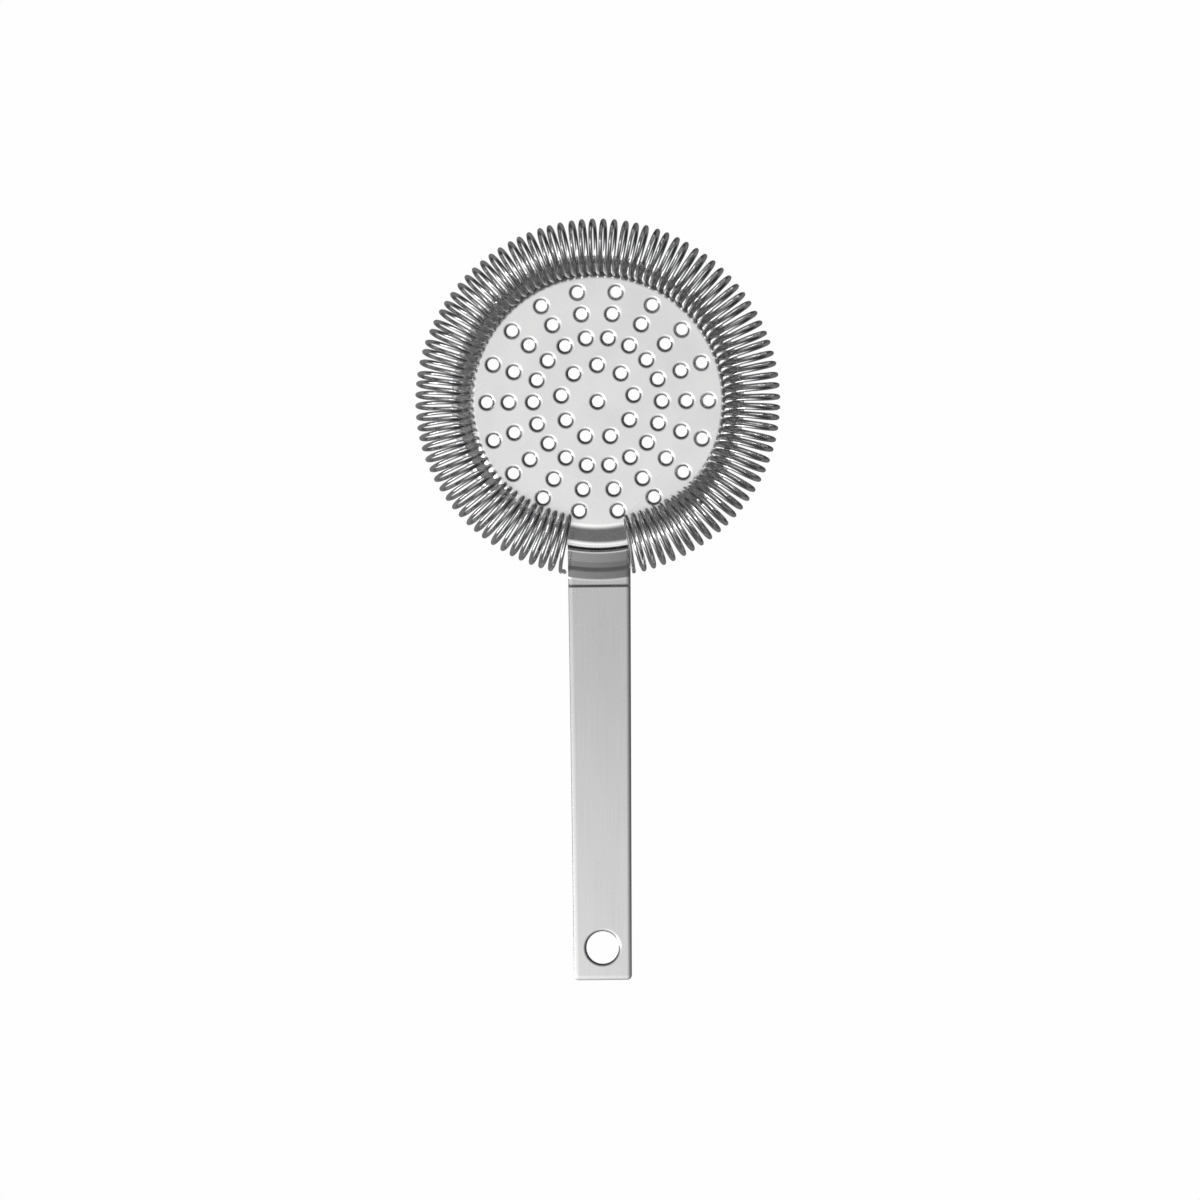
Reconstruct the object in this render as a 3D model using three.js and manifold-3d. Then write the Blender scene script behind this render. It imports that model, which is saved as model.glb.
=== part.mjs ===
// Hawthorne strainer: a perforated disc, a handle strap under its rim and a long coil of spring wire
// laid round the disc. Millimetres, +Z up. It lies with the spring side up: the disc is at +Y, the
// handle points to -Y, and the origin is under the middle of the whole object.

import * as THREE from 'three';
import { mergeVertices } from 'three/addons/utils/BufferGeometryUtils.js';
import Module from 'manifold-3d';

const wasm = await Module();
wasm.setup();

// ---------- Driving dimensions ----------
// Lengths along the object are measured from the disc's centre.

const SHEET = 1.2;               // thickness of the disc and of the strap
const GAP = 0.3;                 // clearance where two pieces meet
const SEAT_GAP = 0.4;            // clearance between the coil and the disc's wall, which it lies on

const COIL_RADIUS = 37.9;        // coil's centre line, round the front and the sides
const COIL_TUBE = 6.8;           // outer radius of one turn
const WIRE = 0.95;               // wire diameter
const COIL_TURNS = 96.7;
const COIL_HALF_SWEEP = 167.5;   // degrees each way from the front; the rest is the gap at the neck
const COIL_START_TURN = -0.03;   // where in its turn the wire starts, 0 at the outside, 0.25 on top
const COIL_KNEE = 0.9;           // 0 for a plain helix, 1 for turns that only step on at their knees
const COIL_PULL_IN = 2.0;        // how far the centre line comes in towards the neck
const COIL_RIDE_UP = 2.1;        // how far it climbs there, over the rim's corner
const COIL_WIDEN = 0.6;          // how much further the leaning turns reach in and out there
const COIL_PULL_FROM = 100;      // degrees from the front where these begin

const PLATEAU_RADIUS = 30.1;     // flat, perforated middle of the disc
const RIM_ANGLE = 45;            // slope of the wall between the plateau and the lip, in degrees
const RIM_CORNER = 2.55;         // bend radius at the plateau's edge, on the upper face
const RIM_WALL = 3.0;            // straight length of the wall
const RIM_FOOT = 1.9;            // bend radius at the foot of the wall, on the upper face
const LIP_RADIUS = 35.95;        // outer edge of the disc

const HOLE_RADIUS = 1.4;
const HOLE_SIDES = 12;
const HOLE_RINGS = [             // count and radius of each ring, and its first hole in degrees
  { count: 1, radius: 0, first: 0 },
  { count: 9, radius: 9.0, first: 0 },
  { count: 18, radius: 15.8, first: 10 },
  { count: 18, radius: 21.8, first: 10 },
  { count: 18, radius: 27.2, first: 10 },
];

const STRAP_START = 32.5;        // end of the tongue under the lip
const STRAP_END = 142.3;
const NECK = [                   // the strap's line from its tongue down to the handle
  { run: 3.45 },
  { bend: 62, radius: 0.3 },     // joggle: the tongue lies one step lower, under the lip
  { run: 0.5 },
  { bend: -87.5, radius: 0.7 },  // crest beside the lip's edge
  { run: 2.3 },
  { bend: -3.5, radius: 3 },
  { run: 1.25 },
  { bend: -14, radius: 1.5 },    // steepest part of the slope
  { run: 0.6 },
  { bend: 15, radius: 2.5 },
  { run: 1.75 },
  { bend: 28, radius: 1.2 },     // heel
  { run: 0.75 },
  { bend: 20, radius: 0.8 },     // a last small step up to the handle's level
  { run: 0.35 },
  { bend: -20, radius: 0.8 },
];
const NECK_ROUND_TO = 44.3;      // up to here the neck's bends follow circles round the disc's centre
const NECK_STRAIGHT_FROM = 45.1; // and from here they run straight across
const NECK_WIDTH = 15.5;
const END_WIDTH = 14.2;
const END_CORNER = 1.0;
const HANG_HOLE_RADIUS = 4.0;
const HANG_HOLE_INSET = 8.0;     // its centre, from the handle's end

// ---------- Small helpers ----------

const rad = THREE.MathUtils.degToRad;
const drop = (radius, angle) => radius * (1 - Math.cos(rad(angle)));
const BEND_STEP = 9;             // degrees for each straight step of a bend

function toSolid(geometry) {
  const bare = geometry.clone();
  bare.deleteAttribute('normal');
  bare.deleteAttribute('uv');
  const merged = mergeVertices(bare, 1e-4);
  return new wasm.Manifold(new wasm.Mesh({
    numProp: 3,
    vertProperties: new Float32Array(merged.attributes.position.array),
    triVerts: new Uint32Array(merged.index.array),
  }));
}

function toGeometry(solid) {
  const mesh = solid.getMesh();
  const geometry = new THREE.BufferGeometry();
  geometry.setAttribute('position', new THREE.BufferAttribute(mesh.vertProperties, 3));
  geometry.setIndex(new THREE.BufferAttribute(mesh.triVerts, 1));
  geometry.computeVertexNormals();
  return geometry;
}

// The upper face of a bent sheet seen from its edge. It starts at (u, v), heading level, and each
// move is a straight run or a bend with its radius on the upper face.
function bentLine(u, v, moves) {
  let heading = 0;
  const line = [{ u, v, heading }];
  for (const move of moves) {
    if (move.run) {
      u += move.run * Math.cos(heading);
      v += move.run * Math.sin(heading);
      line.push({ u, v, heading });
      continue;
    }
    const bendSteps = Math.ceil(Math.abs(move.bend) / BEND_STEP);
    const turn = rad(move.bend) / bendSteps;
    const chord = 2 * move.radius * Math.sin(Math.abs(turn) / 2);
    for (let step = 0; step < bendSteps; step++) {
      u += chord * Math.cos(heading + turn / 2);
      v += chord * Math.sin(heading + turn / 2);
      heading += turn;
      line.push({ u, v, heading });
    }
  }
  return line;
}

// The outline of a folded sheet, which is as thick in its slopes as it is where it lies flat.
function foldedSheet(u, v, moves) {
  const line = bentLine(u, v, moves);
  const upper = line.map((spot) => new THREE.Vector2(spot.u, spot.v));
  const lower = line.map((spot) => new THREE.Vector2(
    spot.u + SHEET * Math.sin(spot.heading), spot.v - SHEET * Math.cos(spot.heading)));
  return [...upper, ...lower.reverse()];
}

// The outline of a pressed sheet, whose slopes are thinned: its lower face is its upper one moved
// down, and it stops at the level that the handle lies on.
function pressedSheet(u, v, moves) {
  const upper = bentLine(u, v, moves).map((spot) => new THREE.Vector2(spot.u, spot.v));
  const lower = upper.map((spot) => new THREE.Vector2(spot.x, Math.max(spot.y - SHEET, 0)));
  return [...upper, ...lower.reverse()];
}

// ---------- Levels and places worked out from the dimensions ----------

const TONGUE_TOP = SHEET - bentLine(0, 0, NECK).at(-1).v;
const LIP_TOP = TONGUE_TOP + GAP + SHEET;
const PLATEAU_TOP = LIP_TOP + drop(RIM_FOOT, RIM_ANGLE) + RIM_WALL * Math.sin(rad(RIM_ANGLE))
  + drop(RIM_CORNER, RIM_ANGLE);
const WALL_TOP_RADIUS = PLATEAU_RADIUS + RIM_CORNER * Math.sin(rad(RIM_ANGLE));
const WALL_TOP = PLATEAU_TOP - drop(RIM_CORNER, RIM_ANGLE);
const LIP_RUN = LIP_RADIUS - WALL_TOP_RADIUS - RIM_WALL * Math.cos(rad(RIM_ANGLE))
  - RIM_FOOT * Math.sin(rad(RIM_ANGLE));

// The coil lies against the sloped wall: its centre is a tube radius and the gap away from it.
const COIL_LEVEL = WALL_TOP + (COIL_TUBE + SEAT_GAP) / Math.cos(rad(RIM_ANGLE))
  - (COIL_RADIUS - WALL_TOP_RADIUS) * Math.tan(rad(RIM_ANGLE));
const TURN_RADIUS = COIL_TUBE - WIRE / 2;
const TURN_PITCH = (2 * COIL_HALF_SWEEP) / COIL_TURNS;   // degrees round the disc for each turn
const DISC_Y = (STRAP_END - COIL_RADIUS - COIL_TUBE) / 2;

// ---------- Perforated disc ----------

function perforatedDisc() {
  const profile = foldedSheet(0, PLATEAU_TOP, [
    { run: PLATEAU_RADIUS },
    { bend: -RIM_ANGLE, radius: RIM_CORNER },
    { run: RIM_WALL },
    { bend: RIM_ANGLE, radius: RIM_FOOT },
    { run: LIP_RUN },
  ]);
  // A lathe's faces point out when its profile runs from the lower end of the axis to the upper.
  const dish = new THREE.LatheGeometry(profile.reverse(), 64);
  dish.rotateX(Math.PI / 2);
  const punches = [];
  for (const { count, radius, first } of HOLE_RINGS) {
    for (let hole = 0; hole < count; hole++) {
      const angle = rad(first + (hole * 360) / count);
      const punch = new THREE.CylinderGeometry(HOLE_RADIUS, HOLE_RADIUS, 4 * SHEET, HOLE_SIDES);
      punch.rotateX(Math.PI / 2);
      punch.translate(radius * Math.sin(angle), radius * Math.cos(angle), PLATEAU_TOP);
      punches.push(toSolid(punch));
    }
  }
  const disc = wasm.Manifold.difference([toSolid(dish), ...punches]);
  return toGeometry(disc).translate(0, DISC_Y, 0);
}

// ---------- Handle strap ----------

function strapOutline() {
  const taper = (NECK_WIDTH - END_WIDTH) / 2 / (STRAP_END - STRAP_START);
  const neck = NECK_WIDTH / 2;
  const end = END_WIDTH / 2;
  const outline = new THREE.Shape();
  outline.moveTo(-neck, -STRAP_START);
  outline.lineTo(-end - taper * END_CORNER, -STRAP_END + END_CORNER);
  outline.quadraticCurveTo(-end, -STRAP_END, -end + END_CORNER, -STRAP_END);
  outline.lineTo(end - END_CORNER, -STRAP_END);
  outline.quadraticCurveTo(end, -STRAP_END, end + taper * END_CORNER, -STRAP_END + END_CORNER);
  outline.lineTo(neck, -STRAP_START);
  outline.closePath();
  const hole = new THREE.Path();
  hole.absarc(0, -STRAP_END + HANG_HOLE_INSET, HANG_HOLE_RADIUS, 0, 2 * Math.PI, true);
  outline.holes.push(hole);
  return outline;
}

// Curves the neck's bends into circles round the disc's centre.
function roundNeck(geometry) {
  const place = geometry.attributes.position;
  for (let index = 0; index < place.count; index++) {
    const across = place.getX(index);
    const out = -place.getY(index);
    const straight = THREE.MathUtils.smoothstep(out, NECK_ROUND_TO, NECK_STRAIGHT_FROM);
    const rounded = Math.sqrt(out * out - across * across);
    place.setY(index, -THREE.MathUtils.lerp(rounded, out, straight));
  }
}

function handleStrap() {
  const side = pressedSheet(STRAP_START, TONGUE_TOP, [...NECK, { run: STRAP_END }]);
  const width = NECK_WIDTH + 2;
  const sheet = new THREE.ExtrudeGeometry(new THREE.Shape(side), {
    depth: width, steps: 8, bevelEnabled: false,
  });
  // Outwards along the profile becomes -Y, its height +Z, and the sheet's width -X.
  sheet.applyMatrix4(new THREE.Matrix4().makeBasis(
    new THREE.Vector3(0, -1, 0), new THREE.Vector3(0, 0, 1), new THREE.Vector3(-1, 0, 0)));
  sheet.translate(width / 2, 0, 0);
  roundNeck(sheet);
  const outline = new THREE.ExtrudeGeometry(strapOutline(), {
    depth: 2 * TONGUE_TOP + 2 * SHEET, bevelEnabled: false, curveSegments: 10,
  });
  outline.translate(0, 0, -TONGUE_TOP);
  return toGeometry(toSolid(sheet).intersect(toSolid(outline))).translate(0, DISC_Y, 0);
}

// ---------- Coil ----------

// A point of the wire's centre line, at an angle in degrees from the front, clockwise from above.
// Each turn steps on towards the next mostly at its outer and inner knees.
function wirePoint(angle) {
  const pull = THREE.MathUtils.smoothstep(Math.abs(angle), COIL_PULL_FROM, COIL_HALF_SWEEP);
  const sweep = (angle + COIL_HALF_SWEEP) / (2 * COIL_HALF_SWEEP);
  const phase = 2 * Math.PI * (COIL_START_TURN + COIL_TURNS * sweep);
  const reach = (TURN_RADIUS + COIL_WIDEN * pull) * Math.cos(phase);
  const radial = COIL_RADIUS - COIL_PULL_IN * pull + reach;
  const level = COIL_LEVEL + COIL_RIDE_UP * pull + TURN_RADIUS * Math.sin(phase);
  const turn = rad(angle + (COIL_KNEE * TURN_PITCH * Math.sin(2 * phase)) / (4 * Math.PI));
  return new THREE.Vector3(radial * Math.sin(turn), DISC_Y + radial * Math.cos(turn), level);
}

// A path through a list of points, one step to each.
class WirePath extends THREE.Curve {
  constructor(points) {
    super();
    this.points = points;
  }
  getUtoTmapping(u) {
    return u;
  }
  getPoint(t, target = new THREE.Vector3()) {
    const last = this.points.length - 1;
    const place = THREE.MathUtils.clamp(t, 0, 1) * last;
    const before = Math.min(Math.floor(place), last - 1);
    return target.lerpVectors(this.points[before], this.points[before + 1], place - before);
  }
}

const STEPS_PER_TURN = 8;
const STEP_ANGLE = TURN_PITCH / STEPS_PER_TURN;

function wireAlong(points) {
  // A square section with the round wire's area.
  const half = (WIRE * Math.sqrt(Math.PI)) / 4;
  const section = new THREE.Shape([
    new THREE.Vector2(-half, -half), new THREE.Vector2(half, -half),
    new THREE.Vector2(half, half), new THREE.Vector2(-half, half),
  ]);
  return new THREE.ExtrudeGeometry(section, {
    steps: points.length - 1, bevelEnabled: false, extrudePath: new WirePath(points),
  });
}

function arcPoints(from, to) {
  const steps = Math.round((to - from) / STEP_ANGLE);
  const points = [];
  for (let step = 0; step <= steps; step++) {
    points.push(wirePoint(from + ((to - from) * step) / steps));
  }
  return points;
}

// The free end of the wire runs from the last turn down beside the strap's edge.
const TAIL_OUT = NECK_WIDTH / 2 + GAP + WIRE / 2;
const TAIL_REACH = 41.8;         // where it passes the strap, from the disc's centre
const TAIL_FOOT = 1.6;           // height of its end
const TAIL_STEPS = 5;

function tailPoints(side, inside) {
  const edge = wirePoint(side * COIL_HALF_SWEEP);
  const inner = wirePoint(side * (COIL_HALF_SWEEP - STEP_ANGLE / 8));
  const foot = new THREE.Vector3(side * TAIL_OUT, DISC_Y - TAIL_REACH, TAIL_FOOT);
  const along = edge.clone().sub(inner).setLength(inside);
  const rise = new THREE.Vector3(0, 0, edge.distanceTo(foot) / 3);
  const curve = new THREE.CubicBezierCurve3(edge, edge.clone().add(along), foot.clone().add(rise), foot);
  return curve.getPoints(TAIL_STEPS).slice(1);
}

// ---------- Assembly ----------

const steel = (colour, roughness) => new THREE.MeshStandardMaterial({
  color: colour, roughness, metalness: 1,
});
const SHEET_STEEL = steel(0xcfd0d0, 0.22);
const SPRING_STEEL = steel(0xbfc0c1, 0.18);

const strainer = new THREE.Group();

function addPiece(name, geometry, material) {
  const mesh = new THREE.Mesh(geometry, material);
  mesh.name = name;
  strainer.add(mesh);
}

addPiece('perforated_disc', perforatedDisc(), SHEET_STEEL);
addPiece('handle_strap', handleStrap(), SHEET_STEEL);

// The spring is one wire. It is divided into arcs, so that each stays a simple solid, and an arc
// stops half the gap short of its neighbour.
const ARC = 30;
const ARC_GAP = (TURN_PITCH * GAP) / 2 / (2 * Math.PI * TURN_RADIUS);
const ARC_NAMES = [
  'coil_left_rear', 'coil_left_middle', 'coil_left_front',
  'coil_front_left', 'coil_front_middle', 'coil_front_right',
  'coil_right_front', 'coil_right_middle', 'coil_right_rear',
];
const ARCS_START = (-ARC_NAMES.length * ARC) / 2;
ARC_NAMES.forEach((name, index) => {
  const from = ARCS_START + index * ARC;
  addPiece(name, wireAlong(arcPoints(from + ARC_GAP, from + ARC - ARC_GAP)), SPRING_STEEL);
});

const leftEnd = [
  ...tailPoints(-1, 3).reverse(),
  ...arcPoints(-COIL_HALF_SWEEP, ARCS_START - ARC_GAP),
];
const rightEnd = [
  ...arcPoints(-ARCS_START + ARC_GAP, COIL_HALF_SWEEP),
  ...tailPoints(1, 3),
];
addPiece('coil_end_left', wireAlong(leftEnd), SPRING_STEEL);
addPiece('coil_end_right', wireAlong(rightEnd), SPRING_STEEL);

export default strainer;
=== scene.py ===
"""Hawthorne strainer seen from its coil side: perforated disc, handle strap and wire coil.

Lengths are in millimetres until they become mesh points, which are in metres.
"""

import math
import random

import bmesh
import bpy
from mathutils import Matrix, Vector, geometry


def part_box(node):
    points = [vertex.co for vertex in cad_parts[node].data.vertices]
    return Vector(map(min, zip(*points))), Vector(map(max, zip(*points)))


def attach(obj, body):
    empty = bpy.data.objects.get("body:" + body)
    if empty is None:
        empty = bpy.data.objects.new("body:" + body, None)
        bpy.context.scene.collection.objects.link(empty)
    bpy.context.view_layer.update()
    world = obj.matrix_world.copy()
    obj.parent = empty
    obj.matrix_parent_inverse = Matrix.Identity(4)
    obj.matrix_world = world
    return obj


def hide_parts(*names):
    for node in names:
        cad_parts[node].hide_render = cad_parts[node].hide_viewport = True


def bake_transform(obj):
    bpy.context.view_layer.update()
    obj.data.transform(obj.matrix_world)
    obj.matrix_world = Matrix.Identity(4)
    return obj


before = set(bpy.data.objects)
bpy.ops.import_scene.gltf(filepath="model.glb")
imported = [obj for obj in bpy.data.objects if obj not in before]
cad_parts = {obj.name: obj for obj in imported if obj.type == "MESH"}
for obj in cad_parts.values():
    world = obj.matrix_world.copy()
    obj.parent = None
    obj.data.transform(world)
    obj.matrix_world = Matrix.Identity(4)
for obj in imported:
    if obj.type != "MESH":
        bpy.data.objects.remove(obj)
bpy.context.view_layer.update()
MM = 0.001

# ---------- Sizes ----------

SHEET = 1.2              # thickness of disc and strap
GAP = 0.3                # clearance where two pieces meet
SEAT_GAP = 0.4           # clearance between the coil and the disc's wall, which it lies on
DISC_LOW, DISC_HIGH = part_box("perforated_disc")
DISC_X = (DISC_LOW[0] + DISC_HIGH[0]) / 2 / MM
DISC_Y = (DISC_LOW[1] + DISC_HIGH[1]) / 2 / MM
PLATEAU_TOP = DISC_HIGH[2] / MM
LIP_RADIUS = (DISC_HIGH[0] - DISC_LOW[0]) / 2 / MM
STRAP_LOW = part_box("handle_strap")[0]
STRAP_END = DISC_Y - STRAP_LOW[1] / MM

PLATEAU_RADIUS = 30.1
RIM_ANGLE = 45
RIM_CORNER = 2.55
RIM_WALL = 3.0
RIM_FOOT = 1.9
DISC_SIDES = 192
RIM_STEP = 0.16          # about how far apart the rings of a bend in the rim are
LIP_RUN = 10             # longer than the lip is, and cut off at its edge

HOLE_RADIUS = 1.4
HOLE_SIDES = 36
HOLE_RINGS = ((1, 0.0, 0), (9, 9.0, 0), (18, 15.8, 10), (18, 21.8, 10), (18, 27.2, 10))

STRAP_START = 32.5
NECK = (                 # the strap's line from its tongue down to the handle: runs, and bends with a radius
    ("run", 3.45, 0),
    ("bend", 62, 0.3),
    ("run", 0.5, 0),
    ("bend", -87.5, 0.7),
    ("run", 2.3, 0),
    ("bend", -3.5, 3),
    ("run", 1.25, 0),
    ("bend", -14, 1.5),
    ("run", 0.6, 0),
    ("bend", 15, 2.5),
    ("run", 1.75, 0),
    ("bend", 28, 1.2),
    ("run", 0.75, 0),
    ("bend", 20, 0.8),
    ("run", 0.35, 0),
    ("bend", -20, 0.8),
)
NECK_ROUND_TO = 44.3     # up to here the neck's bends follow circles round the disc's centre
NECK_STRAIGHT_FROM = 45.1
NECK_STEP = 0.2          # about how far apart the rows of a bend in the neck are
TONGUE_STEP = 0.3        # the least distance from the first row of the tongue to the second
NECK_WIDTH = 15.5
END_WIDTH = 14.2
END_CORNER = 1.2
TONGUE_CORNER = 1.2
HANG_HOLE_RADIUS = 4.0
HANG_HOLE_INSET = 8.0
HANG_HOLE_SIDES = 64
STRAP_CORNER_STEPS = 8
HANDLE_STEPS = 12        # rows of the outline over the flat handle
FACE_COLUMNS = 14        # columns of the strap's faces over the neck

# Edges are rolled over: how far in from the edge that starts, and the slope in degrees that it ends with.
STRAP_ROLL = (1.15, 20)
HANG_HOLE_ROLL = (0.8, 38)
LIP_ROLL = (0.3, 40)
HOLE_ROLL = (0.9, 45)
EDGE_CORNER = 0.1        # radius of the last sharp corner

COIL_RADIUS = 37.9
COIL_TUBE = 6.8
WIRE = 0.95
COIL_TURNS = 96.7
COIL_HALF_SWEEP = 167.5
COIL_START_TURN = -0.03  # where in a turn the wire is at the left end, as a share of a turn
COIL_KNEE = 0.9          # 0 is an even helix; near 1 the wire hardly advances at a turn's top and foot
COIL_PULL_IN = 2.0       # at its ends the ring is pulled in, rides up, and its turns widen by this much
COIL_RIDE_UP = 2.1
COIL_WIDEN = 0.6
COIL_PULL_FROM = 100     # angle from the front where that begins
COIL_WANDER = 0.16       # how far a turn strays from its even place

SUPPORT = 0.04           # width of the narrow faces that keep a flat face's shading flat


def smoothstep(value, low, high):
    t = min(1, max(0, (value - low) / (high - low)))
    return t * t * (3 - 2 * t)


# ---------- Meshes from loops ----------

class Sheet:
    """Points and faces of one piece: closed loops of points, bridged, with flat fills between them."""

    def __init__(self):
        self.points = []
        self.faces = []
        self.edge = []
        self.grain = []

    def loop(self, points, edge=0, grain=None):
        """Adds points. edge is how much of a worn edge they are, and grain where in the grain each is."""
        first = len(self.points)
        self.points += points
        self.edge += [edge] * len(points)
        self.grain += grain or points
        return range(first, len(self.points))

    def bridge(self, one, other):
        count = len(one)
        for here in range(count):
            after = (here + 1) % count
            self.faces.append((one[here], one[after], other[after], other[here]))

    def bridge_all(self, loops):
        for one, other in zip(loops, loops[1:]):
            self.bridge(one, other)

    def grid(self, rows):
        for one, other in zip(rows, rows[1:]):
            for here in range(len(one) - 1):
                self.faces.append((one[here], one[here + 1], other[here + 1], other[here]))

    def fill(self, outer, holes, plan):
        """Triangles between one outer loop and holes. plan gives each point's place when laid flat."""
        loops = [outer, *holes]
        order = [point for loop in loops for point in loop]
        place = {point: spot for spot, point in enumerate(order)}
        owner = {point: number for number, loop in enumerate(loops) for point in loop}
        edges = []
        for loop in loops:
            edges += [(place[a], place[b]) for a, b in zip(loop, [*loop[1:], loop[0]])]
        flat = [Vector(plan[point]) for point in order]
        result = geometry.delaunay_2d_cdt(flat, edges, [], 1, 1e-7, True)
        sources = [order[ids[0]] for ids in result[3]]
        inside = [Vector(plan[point]) for point in outer]
        for face in result[2]:
            corners = [sources[corner] for corner in face]
            owners = {owner[corner] for corner in corners}
            if len(owners) == 1 and 0 not in owners:
                continue
            middle = sum((Vector(plan[corner]) for corner in corners), Vector((0, 0))) / len(corners)
            if owners == {0} and not is_inside(middle, inside):
                continue
            self.faces.append(tuple(corners))

    def piece(self, name):
        mesh = bpy.data.meshes.new(name)
        mesh.from_pydata(self.points, [], self.faces)
        solid = bmesh.new()
        solid.from_mesh(mesh)
        bmesh.ops.recalc_face_normals(solid, faces=solid.faces)
        solid.to_mesh(mesh)
        solid.free()
        mesh.attributes.new("edge", "FLOAT", "POINT").data.foreach_set("value", self.edge)
        flat_grain = [number for spot in self.grain for number in spot]
        mesh.attributes.new("grain", "FLOAT_VECTOR", "POINT").data.foreach_set("vector", flat_grain)
        mesh.shade_smooth()
        made = bpy.data.objects.new(name, mesh)
        bpy.context.collection.objects.link(made)
        return made


def is_inside(spot, outline):
    crossings = 0
    for a, b in zip(outline, [*outline[1:], outline[0]]):
        if (a.y > spot.y) != (b.y > spot.y):
            if spot.x < (b.x - a.x) * (spot.y - a.y) / (b.y - a.y) + a.x:
                crossings += 1
    return crossings % 2 == 1


def rolled_edge(reach, slope, steps=6, corner_steps=3):
    """An edge from the upper face to the lower: (inset from the edge, height, how much of an edge)."""
    end = math.radians(slope)
    corner_reach = EDGE_CORNER * (1 - math.sin(end))
    radius = (reach - corner_reach) / math.sin(end)
    upper = []
    for step in range(steps + 1):
        turn = end * step / steps
        upper.append((reach - radius * math.sin(turn), -radius * (1 - math.cos(turn)), 0.5 * step / steps))
    depth = radius * (1 - math.cos(end))
    for step in range(1, corner_steps + 1):
        turn = end + (math.pi / 2 - end) * step / corner_steps
        fall = EDGE_CORNER * (math.cos(end) - math.cos(turn))
        upper.append((EDGE_CORNER * (1 - math.sin(turn)), -depth - fall, 1))
    lower = [(inset, -SHEET - height, worn) for inset, height, worn in reversed(upper)]
    return [(reach + SUPPORT, 0, 0), *upper, *lower, (reach + SUPPORT, -SHEET, 0)]


class Fold:
    """A bent sheet's line seen from its edge, starting level at (u, v) on the upper face."""

    def __init__(self, u, v, moves):
        self.parts = []
        heading = 0
        along = 0
        for kind, size, radius in moves:
            length = size if kind == "run" else radius * abs(math.radians(size))
            turn = 0 if kind == "run" else math.radians(size)
            self.parts.append((along, along + length, u, v, heading, turn))
            along += length
            if turn:
                chord = 2 * radius * math.sin(abs(turn) / 2)
                u += chord * math.cos(heading + turn / 2)
                v += chord * math.sin(heading + turn / 2)
                heading += turn
            else:
                u += length * math.cos(heading)
                v += length * math.sin(heading)
        self.length = along

    def at(self, along, height=0):
        """The place at a distance along the upper face and a height over it."""
        for first, last, u, v, heading, turn in self.parts:
            if along <= last:
                break
        share = (along - first) / (last - first)
        if turn:
            radius = (last - first) / abs(turn)
            swept = turn * share
            chord = 2 * radius * math.sin(abs(swept) / 2)
            u += chord * math.cos(heading + swept / 2)
            v += chord * math.sin(heading + swept / 2)
            heading += swept
        else:
            u += (along - first) * math.cos(heading)
            v += (along - first) * math.sin(heading)
        return u - height * math.sin(heading), v + height * math.cos(heading)

    def stations(self, from_along, bend_step):
        """Distances along the sheet: several in each bend, and one beside each of its ends."""
        marks = [from_along]
        for first, last, _, _, _, turn in self.parts:
            if turn:
                count = max(2, round((last - first) / bend_step))
                inside = [first + (last - first) * step / count for step in range(count + 1)]
                marks += [first - SUPPORT, *inside, last + SUPPORT]
        marks = sorted(mark for mark in marks if mark >= from_along)
        return [mark for mark, after in zip(marks, [*marks[1:], math.inf]) if after - mark > SUPPORT / 2]


# ---------- Perforated disc ----------

def make_disc():
    fold = Fold(0, PLATEAU_TOP, [
        ("run", PLATEAU_RADIUS, 0),
        ("bend", -RIM_ANGLE, RIM_CORNER),
        ("run", RIM_WALL, 0),
        ("bend", RIM_ANGLE, RIM_FOOT),
        ("run", LIP_RUN, 0),
    ])
    lip_from = fold.length - LIP_RUN
    edge_along = lip_from + LIP_RADIUS - fold.at(lip_from)[0]
    sheet = Sheet()

    def ring(along, height, edge):
        radius, level = fold.at(along, height)
        points = []
        for side in range(DISC_SIDES):
            turn = 2 * math.pi * side / DISC_SIDES
            points.append((
                (DISC_X + radius * math.sin(turn)) * MM,
                (DISC_Y + radius * math.cos(turn)) * MM,
                level * MM,
            ))
        return sheet.loop(points, edge)

    rim_from = PLATEAU_RADIUS - SUPPORT
    rim_to = edge_along - LIP_ROLL[0] - SUPPORT
    stations = [mark for mark in fold.stations(rim_from, RIM_STEP) if mark < rim_to]
    section = [(mark, 0, 0) for mark in stations]
    section += [(edge_along - inset, height, edge) for inset, height, edge in rolled_edge(*LIP_ROLL)]
    section += [(mark, -SHEET, 0) for mark in reversed(stations)]
    rings = [ring(*spot) for spot in section]
    sheet.bridge_all(rings)

    upper_holes = []
    lower_holes = []
    for count, radius, first in HOLE_RINGS:
        for hole in range(count):
            angle = math.radians(first + 360 * hole / count)
            middle = (DISC_X + radius * math.sin(angle), DISC_Y + radius * math.cos(angle))
            loops = []
            for inset, height, edge in rolled_edge(*HOLE_ROLL):
                points = []
                for side in range(HOLE_SIDES):
                    turn = 2 * math.pi * side / HOLE_SIDES
                    points.append((
                        (middle[0] + (HOLE_RADIUS + inset) * math.cos(turn)) * MM,
                        (middle[1] + (HOLE_RADIUS + inset) * math.sin(turn)) * MM,
                        (PLATEAU_TOP + height) * MM,
                    ))
                loops.append(sheet.loop(points, edge))
            sheet.bridge_all(loops)
            upper_holes.append(loops[0])
            lower_holes.append(loops[-1])
    for outer, holes in ((rings[0], upper_holes), (rings[-1], lower_holes)):
        plan = {point: sheet.points[point][:2] for loop in (outer, *holes) for point in loop}
        sheet.fill(outer, holes, plan)
    return sheet.piece("disc")


# ---------- Handle strap ----------

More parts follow.
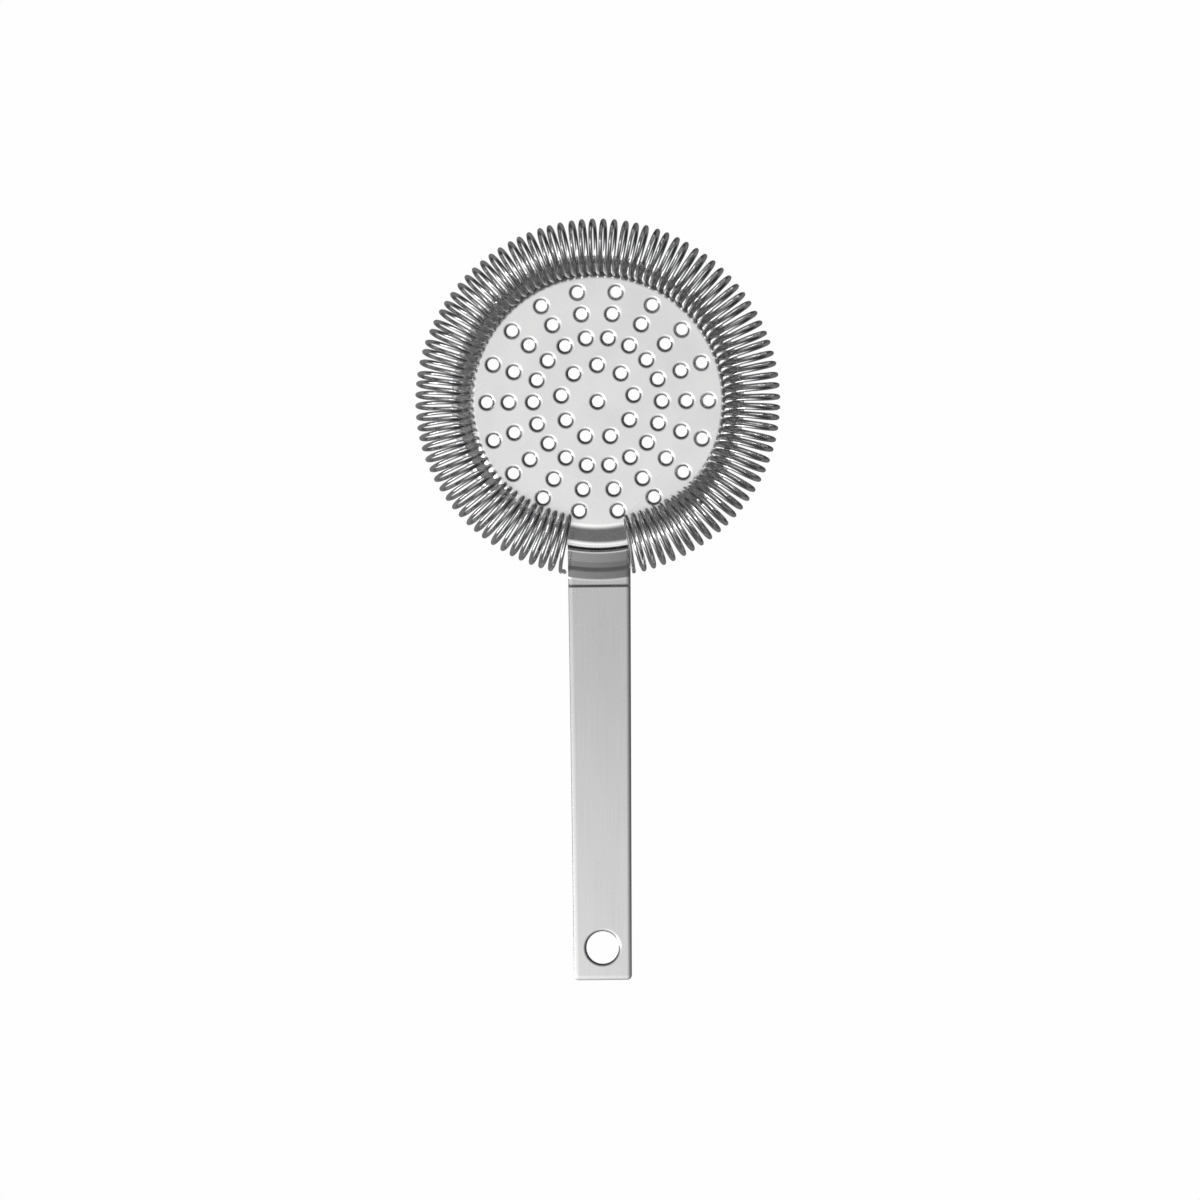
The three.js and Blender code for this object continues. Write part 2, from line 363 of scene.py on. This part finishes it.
def make_strap():
    neck = Fold(STRAP_START, 0, NECK)
    neck_end, neck_rise = neck.at(neck.length)
    fold = Fold(STRAP_START, SHEET - neck_rise, [*NECK, ("run", STRAP_END - neck_end, 0)])
    length = fold.length

    def half_width(along):
        return (NECK_WIDTH + (END_WIDTH - NECK_WIDTH) * along / length) / 2

    # The right half of the outline laid flat, from the tongue's corner to the handle's end:
    # (x, along, outward x, outward y).
    half = []
    for step in range(STRAP_CORNER_STEPS):
        turn = math.pi / 2 * step / STRAP_CORNER_STEPS
        half.append((
            half_width(0) - TONGUE_CORNER * (1 - math.sin(turn)), TONGUE_CORNER * (1 - math.cos(turn)),
            math.sin(turn), -math.cos(turn),
        ))
    tongue_end = TONGUE_CORNER + STRAP_ROLL[0]
    neck_marks = [tongue_end, *fold.stations(tongue_end + TONGUE_STEP, NECK_STEP)]
    first_row = len(half)
    last_row = first_row + len(neck_marks) - 1
    handle_from = neck_marks[-1]
    handle_marks = [
        handle_from + (length - END_CORNER - handle_from) * step / HANDLE_STEPS
        for step in range(1, HANDLE_STEPS + 1)
    ]
    half += [(half_width(mark), mark, 1, 0) for mark in (*neck_marks, *handle_marks)]
    for step in range(1, STRAP_CORNER_STEPS + 1):
        turn = math.pi / 2 * step / STRAP_CORNER_STEPS
        half.append((
            half_width(length) - END_CORNER * (1 - math.cos(turn)),
            length - END_CORNER * (1 - math.sin(turn)),
            math.cos(turn), math.sin(turn),
        ))
    outline = half + [(-x, along, -nx, ny) for x, along, nx, ny in reversed(half)]
    count = len(outline)

    sheet = Sheet()
    plan = {}

    def place(x, along, height):
        u, v = fold.at(min(max(along, 0), length))
        rounded = math.sqrt(u * u - x * x)
        out = rounded + (u - rounded) * smoothstep(u, NECK_ROUND_TO, NECK_STRAIGHT_FROM)
        return (x * MM, (DISC_Y - out) * MM, max(v + height, 0) * MM)

    def add(flat, height, edge):
        loop = sheet.loop([place(x, along, height) for x, along in flat], edge)
        plan.update(zip(loop, flat))
        return loop

    def rounded_rim(points, profile):
        loops = []
        for inset, height, edge in profile:
            flat = [(x - nx * inset, along - ny * inset) for x, along, nx, ny in points]
            loops.append(add(flat, height, edge))
        sheet.bridge_all(loops)
        return loops

    edges = rounded_rim(outline, rolled_edge(*STRAP_ROLL))
    hole = []
    for side in range(HANG_HOLE_SIDES):
        turn = 2 * math.pi * side / HANG_HOLE_SIDES
        hole.append((
            HANG_HOLE_RADIUS * math.cos(turn),
            length - HANG_HOLE_INSET + HANG_HOLE_RADIUS * math.sin(turn),
            -math.cos(turn), -math.sin(turn),
        ))
    hole_edges = rounded_rim(hole, rolled_edge(*HANG_HOLE_ROLL))

    # Each face is a grid over the bent neck, with flat fills at the tongue's end and over the handle.
    for rim, hole_rim, height in ((edges[0], hole_edges[0], 0), (edges[-1], hole_edges[-1], -SHEET)):
        rows = []
        for number in range(first_row, last_row + 1):
            right, left = rim[number], rim[count - 1 - number]
            along = plan[right][1]
            across = [
                plan[right][0] * (1 - 2 * column / FACE_COLUMNS) for column in range(1, FACE_COLUMNS)
            ]
            rows.append([right, *add([(x, along) for x in across], height, 0), left])
        sheet.grid(rows)
        tongue = [*rim[:first_row], *rows[0], *rim[count - first_row:]]
        sheet.fill(tongue, [], plan)
        handle = [*rim[last_row:count - last_row], *reversed(rows[-1][1:-1])]
        sheet.fill(handle, [hole_rim], plan)
    return sheet.piece("strap")


# ---------- Coil ----------

WALL_TOP_RADIUS = PLATEAU_RADIUS + RIM_CORNER * math.sin(math.radians(RIM_ANGLE))
WALL_TOP = PLATEAU_TOP - RIM_CORNER * (1 - math.cos(math.radians(RIM_ANGLE)))
COIL_LEVEL = (WALL_TOP + (COIL_TUBE + SEAT_GAP) / math.cos(math.radians(RIM_ANGLE))
              - (COIL_RADIUS - WALL_TOP_RADIUS) * math.tan(math.radians(RIM_ANGLE)))
TURN_RADIUS = COIL_TUBE - WIRE / 2
TURN_PITCH = 2 * COIL_HALF_SWEEP / COIL_TURNS
WIRE_STEPS = 44          # steps in each turn
WIRE_SIDES = 12
STEP_ANGLE = TURN_PITCH / WIRE_STEPS
TAIL_OUT = NECK_WIDTH / 2 + GAP + WIRE / 2
TAIL_REACH = 41.8
TAIL_FOOT = 1.6
TAIL_LEAD = 3            # length of the curve's handle that keeps the last turn's direction
TAIL_STEPS = 30
SECTOR_EDGE = 45         # the front arc reaches this far each way, and the side arcs go on from there
SECTOR_END = 135
STRAY_SEED = 11

dice = random.Random(STRAY_SEED)
TURN_STRAYS = [dice.uniform(-1, 1) for _ in range(2 * math.ceil(COIL_TURNS) + 4)]


def stray(turns):
    """A smooth random wander between -1 and 1, with a new value every half turn."""
    before = math.floor(2 * turns)
    share = smoothstep(2 * turns - before, 0, 1)
    last = len(TURN_STRAYS) - 1
    one = TURN_STRAYS[min(max(before, 0), last)]
    other = TURN_STRAYS[min(max(before + 1, 0), last)]
    return one + (other - one) * share


def wire_point(angle):
    """The wire's centre line, at an angle in degrees from the front, clockwise from above."""
    pull = smoothstep(abs(angle), COIL_PULL_FROM, COIL_HALF_SWEEP)
    turns = COIL_TURNS * (angle + COIL_HALF_SWEEP) / (2 * COIL_HALF_SWEEP)
    phase = 2 * math.pi * (COIL_START_TURN + turns)
    reach = (TURN_RADIUS + COIL_WIDEN * pull) * math.cos(phase)
    radial = COIL_RADIUS - COIL_PULL_IN * pull + reach
    level = COIL_LEVEL + COIL_RIDE_UP * pull + TURN_RADIUS * math.sin(phase)
    turn = math.radians(angle + COIL_KNEE * TURN_PITCH * math.sin(2 * phase) / (4 * math.pi))
    turn += COIL_WANDER * stray(turns) / radial
    return Vector((DISC_X + radial * math.sin(turn), DISC_Y + radial * math.cos(turn), level))


def arc_points(start, end):
    """The wire's centre line from one angle to another, both ends included."""
    steps = round((end - start) / STEP_ANGLE)
    return [wire_point(start + (end - start) * step / steps) for step in range(steps + 1)]


def tail_points(side):
    """The free end on one side, from the last turn down to beside the strap."""
    edge = wire_point(side * COIL_HALF_SWEEP)
    inner = wire_point(side * (COIL_HALF_SWEEP - STEP_ANGLE / 8))
    foot = Vector((side * TAIL_OUT, DISC_Y - TAIL_REACH, TAIL_FOOT))
    along = (edge - inner).normalized() * TAIL_LEAD
    rise = Vector((0, 0, (edge - foot).length / 3))
    return geometry.interpolate_bezier(edge, edge + along, foot + rise, foot, TAIL_STEPS)[1:]


def make_wire(name, points):
    """A round wire swept along its centre line, with its grain running along it."""
    sheet = Sheet()
    loops = []
    last = len(points) - 1
    side = None
    along = 0
    for number, point in enumerate(points):
        ahead = (points[min(number + 1, last)] - points[max(number - 1, 0)]).normalized()
        if side is None:
            side = ahead.orthogonal()
        else:
            along += (point - points[number - 1]).length
        side = (side - ahead * side.dot(ahead)).normalized()
        across = ahead.cross(side)
        ring = []
        grain = []
        for step in range(WIRE_SIDES):
            turn = 2 * math.pi * step / WIRE_SIDES
            out = side * math.cos(turn) + across * math.sin(turn)
            ring.append(tuple((point + out * WIRE / 2) * MM))
            grain.append((WIRE / 2 * math.cos(turn) * MM, along * MM, WIRE / 2 * math.sin(turn) * MM))
        loops.append(sheet.loop(ring, 0, grain))
    sheet.bridge_all(loops)
    sheet.faces.append(tuple(loops[0]))
    sheet.faces.append(tuple(reversed(loops[-1])))
    wire = sheet.piece(name)
    for cut_end in wire.data.polygons[-2:]:
        cut_end.use_smooth = False
    return wire


def make_coil():
    sectors = {
        "front": (-SECTOR_EDGE, SECTOR_EDGE, (0, 1)),
        "right": (SECTOR_EDGE, SECTOR_END, (1, 0)),
        "left": (-SECTOR_END, -SECTOR_EDGE, (-1, 0)),
    }
    wires = []
    for side, (start, end, out) in sectors.items():
        wire = make_wire(f"coil_wire_{side}", arc_points(start, end))
        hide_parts(*[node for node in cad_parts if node.startswith(f"coil_{side}_")])
        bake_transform(wire)
        wires.append(wire)
    left = [*reversed(tail_points(-1)), *arc_points(-COIL_HALF_SWEEP, -SECTOR_END)]
    right = [*arc_points(SECTOR_END, COIL_HALF_SWEEP), *tail_points(1)]
    for side, points in (("left", left), ("right", right)):
        wire = make_wire(f"coil_wire_end_{side}", points)
        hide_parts(f"coil_end_{side}")
        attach(wire, "coil")
        wires.append(wire)
    return wires


# ---------- Materials ----------

SCRATCH_NOISE = (0.7, 0.78)  # noise levels where a scratch begins and where it is full
CLOUD_NOISE = (0.3, 0.7)     # the levels that nearly all of the noise is between
PATCH_NOISE = (0.35, 0.65)   # closer levels, for patches with clearer edges


class Steel:
    """A stainless steel with the marks of its making, drawn from fine and stretched noise."""

    def __init__(self, name):
        self.material = bpy.data.materials.new(name)
        self.material.use_nodes = True
        self.nodes = self.material.node_tree.nodes
        self.links = self.material.node_tree.links
        self.shader = self.nodes["Principled BSDF"]
        self.shader.inputs["Metallic"].default_value = 1
        self.grain = self.attribute("grain").outputs["Vector"]
        self.edge = self.attribute("edge").outputs["Fac"]

    def attribute(self, name):
        node = self.nodes.new("ShaderNodeAttribute")
        node.attribute_name = name
        return node

    def noise(self, size, detail=2.0, heading=0):
        """Noise between about 0.3 and 0.7, with features of a size in millimetres, turned by a heading."""
        mapping = self.nodes.new("ShaderNodeMapping")
        mapping.vector_type = "TEXTURE"
        mapping.inputs["Rotation"].default_value = (0, 0, math.radians(heading))
        mapping.inputs["Scale"].default_value = [side * MM for side in size]
        self.links.new(self.grain, mapping.inputs["Vector"])
        node = self.nodes.new("ShaderNodeTexNoise")
        node.inputs["Scale"].default_value = 1
        node.inputs["Detail"].default_value = detail
        self.links.new(mapping.outputs["Vector"], node.inputs["Vector"])
        return node.outputs["Fac"]

    def spread(self, value, from_low, from_high, low, high):
        node = self.nodes.new("ShaderNodeMapRange")
        node.inputs["From Min"].default_value = from_low
        node.inputs["From Max"].default_value = from_high
        node.inputs["To Min"].default_value = low
        node.inputs["To Max"].default_value = high
        self.links.new(value, node.inputs["Value"])
        return node.outputs["Result"]

    def combine(self, operation, one, other):
        node = self.nodes.new("ShaderNodeMath")
        node.operation = operation
        self.links.new(one, node.inputs[0])
        self.links.new(other, node.inputs[1])
        return node.outputs["Value"]

    def scratches(self, headings, width, length):
        """Thin straight marks, 1 on a mark and 0 off it."""
        marks = None
        for heading in headings:
            field = self.noise((width, length, width), 1.0, heading)
            thin = self.spread(field, *SCRATCH_NOISE, 0, 1)
            marks = thin if marks is None else self.combine("MAXIMUM", marks, thin)
        return marks

    def colour(self, dark, pale, value):
        mix = self.nodes.new("ShaderNodeMix")
        mix.data_type = "RGBA"
        mix.inputs["A"].default_value = (*dark, 1)
        mix.inputs["B"].default_value = (*pale, 1)
        self.links.new(value, mix.inputs["Factor"])
        self.links.new(mix.outputs["Result"], self.shader.inputs["Base Color"])

    def roughness(self, *values):
        total = values[0]
        for value in values[1:]:
            total = self.combine("ADD", total, value)
        self.links.new(total, self.shader.inputs["Roughness"])

    def relief(self, value, depth):
        bump = self.nodes.new("ShaderNodeBump")
        bump.inputs["Strength"].default_value = 1
        bump.inputs["Distance"].default_value = depth
        self.links.new(value, bump.inputs["Height"])
        self.links.new(bump.outputs["Normal"], self.shader.inputs["Normal"])


def polished_disc():
    """Machine-polished sheet: soft clouds, fine scratches every way, and rubbed edges."""
    steel = Steel("polished_sheet_steel")
    clouds = steel.noise((11, 11, 11), 3.0)
    fine = steel.noise((0.5, 0.5, 0.5), 2.0)
    marks = steel.scratches((12, 67, 131), 0.2, 9)
    steel.colour((0.78, 0.78, 0.785), (0.86, 0.86, 0.855), steel.spread(clouds, *PATCH_NOISE, 0, 1))
    steel.roughness(
        steel.spread(clouds, *CLOUD_NOISE, 0.19, 0.25),
        steel.spread(marks, 0, 1, 0, 0.08),
        steel.spread(steel.edge, 0, 1, 0, 0.06),
    )
    steel.relief(steel.combine("ADD", fine, marks), 0.0015 * MM)
    return steel.material


def brushed_handle():
    """Sheet brushed along its length, with painted shade: darker by the neck and lighter towards the end, in
    place of its changing reflections.
    """
    steel = Steel("brushed_sheet_steel")
    clouds = steel.noise((14, 40, 14), 3.0)
    brushing = steel.noise((0.2, 22, 0.2), 3.0)
    marks = steel.scratches((4, -9, 58), 0.2, 12)
    split = steel.nodes.new("ShaderNodeSeparateXYZ")
    steel.links.new(steel.grain, split.inputs["Vector"])
    # Painted shade: the colour runs from darker at the neck to lighter at the handle's end, standing in for
    # how the strap's reflections change along it.
    painted_shade_along = steel.spread(split.outputs["Y"], 0.0, STRAP_LOW[1], 0, 1)
    steel.colour((0.55, 0.55, 0.555), (0.72, 0.72, 0.717), painted_shade_along)
    steel.roughness(
        steel.spread(clouds, *CLOUD_NOISE, 0.22, 0.29),
        steel.spread(brushing, *CLOUD_NOISE, -0.03, 0.05),
        steel.spread(marks, 0, 1, 0, 0.1),
    )
    steel.relief(steel.combine("ADD", brushing, marks), 0.0012 * MM)
    return steel.material


def drawn_wire():
    """Bright drawn wire: the die's fine lines run along it, with duller patches."""
    steel = Steel("drawn_spring_wire")
    patches = steel.noise((2.5, 8, 2.5), 3.0)
    lines = steel.noise((0.11, 14, 0.11), 2.0)
    steel.colour((0.70, 0.70, 0.71), (0.84, 0.84, 0.845), steel.spread(patches, *PATCH_NOISE, 0, 1))
    steel.roughness(
        steel.spread(patches, *CLOUD_NOISE, 0.12, 0.2),
        steel.spread(lines, *CLOUD_NOISE, -0.03, 0.05),
    )
    steel.relief(lines, 0.0015 * MM)
    return steel.material


# ---------- Build ----------

disc = make_disc()
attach(disc, "strainer")
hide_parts("perforated_disc")
strap = make_strap()
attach(strap, "strainer")
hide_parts("handle_strap")
coil = make_coil()

disc.data.materials.append(polished_disc())
strap.data.materials.append(brushed_handle())
wire_steel = drawn_wire()
for piece in coil:
    piece.data.materials.append(wire_steel)

# ---------- Floor, light and camera ----------

bpy.context.scene.view_settings.view_transform = "Standard"

FLOOR_GREY = 0.35        # in the object's reflections
FLOOR_WHITE = 0.99       # to the eye
FLOOR_SIZE = 6           # in metres
FLOOR_DROP = 0.0005      # in metres, so that the floor and the handle's underside don't coincide
bpy.ops.mesh.primitive_plane_add(size=FLOOR_SIZE, location=(0, 0, -FLOOR_DROP))
floor = bpy.context.object
floor.name = "floor"


def pale_floor():
    """White to the eye, and a dimmer grey in the object's reflections, as a table under soft light is."""
    material = bpy.data.materials.new("pale_floor")
    material.use_nodes = True
    nodes, links = material.node_tree.nodes, material.node_tree.links
    shader = nodes["Principled BSDF"]
    shader.inputs["Base Color"].default_value = (FLOOR_GREY, FLOOR_GREY, FLOOR_GREY, 1)
    shader.inputs["Roughness"].default_value = 1
    shader.inputs["Specular IOR Level"].default_value = 0
    glow = nodes.new("ShaderNodeEmission")
    glow.inputs["Color"].default_value = (FLOOR_WHITE, FLOOR_WHITE, FLOOR_WHITE, 1)
    path = nodes.new("ShaderNodeLightPath")
    mix = nodes.new("ShaderNodeMixShader")
    links.new(path.outputs["Is Camera Ray"], mix.inputs["Fac"])
    links.new(shader.outputs["BSDF"], mix.inputs[1])
    links.new(glow.outputs["Emission"], mix.inputs[2])
    links.new(mix.outputs["Shader"], nodes["Material Output"].inputs["Surface"])
    return material


floor.data.materials.append(pale_floor())

# Each soft light of the room: the direction towards it, and its level by the cosine from there.
OVERHEAD = (
    (-0.26, -0.26, 0.93),
    ((0.01, 0.02), (0.5, 0.03), (0.72, 0.1), (0.88, 0.45), (0.95, 0.8), (0.999, 1.0)),
)
LOW_BY_HANDLE = ((0, -1, 0.25), ((0.2, 0), (0.75, 0.03), (0.999, 0.09)))
ROOM_STRENGTH = 1.4


def studio_world():
    """A wide soft light overhead, to the left and the handle's side, and a dim low one past the handle."""
    world = bpy.data.worlds.new("studio")
    world.use_nodes = True
    nodes, links = world.node_tree.nodes, world.node_tree.links
    place = nodes.new("ShaderNodeTexCoord")
    total = nodes.new("ShaderNodeMath")
    total.operation = "ADD"
    for number, (direction, falloff) in enumerate((OVERHEAD, LOW_BY_HANDLE)):
        toward = nodes.new("ShaderNodeVectorMath")
        toward.operation = "DOT_PRODUCT"
        toward.inputs[1].default_value = Vector(direction).normalized()
        links.new(place.outputs["Generated"], toward.inputs[0])
        ramp = nodes.new("ShaderNodeValToRGB")
        ramp.color_ramp.interpolation = "B_SPLINE"
        stops = ramp.color_ramp.elements
        for position, level in falloff:
            stop = stops.new(position)
            stop.color = (level, level, level, 1)
        stops.remove(stops[0])
        stops.remove(stops[-1])
        links.new(toward.outputs["Value"], ramp.inputs["Fac"])
        links.new(ramp.outputs["Color"], total.inputs[number])
    links.new(total.outputs["Value"], nodes["Background"].inputs["Color"])
    nodes["Background"].inputs["Strength"].default_value = ROOM_STRENGTH
    return world


bpy.context.scene.world = studio_world()


def area_light(name, place, size, power, target=(0, 0.02, 0)):
    """A rectangular light, in metres and watts, turned towards a target near the disc."""
    data = bpy.data.lights.new(name, "AREA")
    data.shape = "RECTANGLE"
    data.size, data.size_y = size
    data.energy = power
    light = bpy.data.objects.new(name, data)
    light.location = place
    light.rotation_euler = (Vector(target) - Vector(place)).to_track_quat("-Z", "Y").to_euler()
    bpy.context.collection.objects.link(light)


area_light("left_strip", (-1.2, -0.6, 1.0), (0.3, 1.2), 10)

CAMERA_DISTANCE = 2000   # straight above the floor
FRAME_WIDTH = 295.6      # how much of the floor the picture shows across
SENSOR = 36
CAMERA_X = 0.1
CAMERA_Y = 0.07
ROLL = -0.52             # in degrees
lens = bpy.data.cameras.new("camera")
lens.sensor_width = SENSOR
lens.lens = SENSOR * CAMERA_DISTANCE / FRAME_WIDTH
camera = bpy.data.objects.new("camera", lens)
camera.location = (CAMERA_X * MM, CAMERA_Y * MM, CAMERA_DISTANCE * MM)
camera.rotation_euler = (0, 0, math.radians(ROLL))
bpy.context.collection.objects.link(camera)
bpy.context.scene.camera = camera
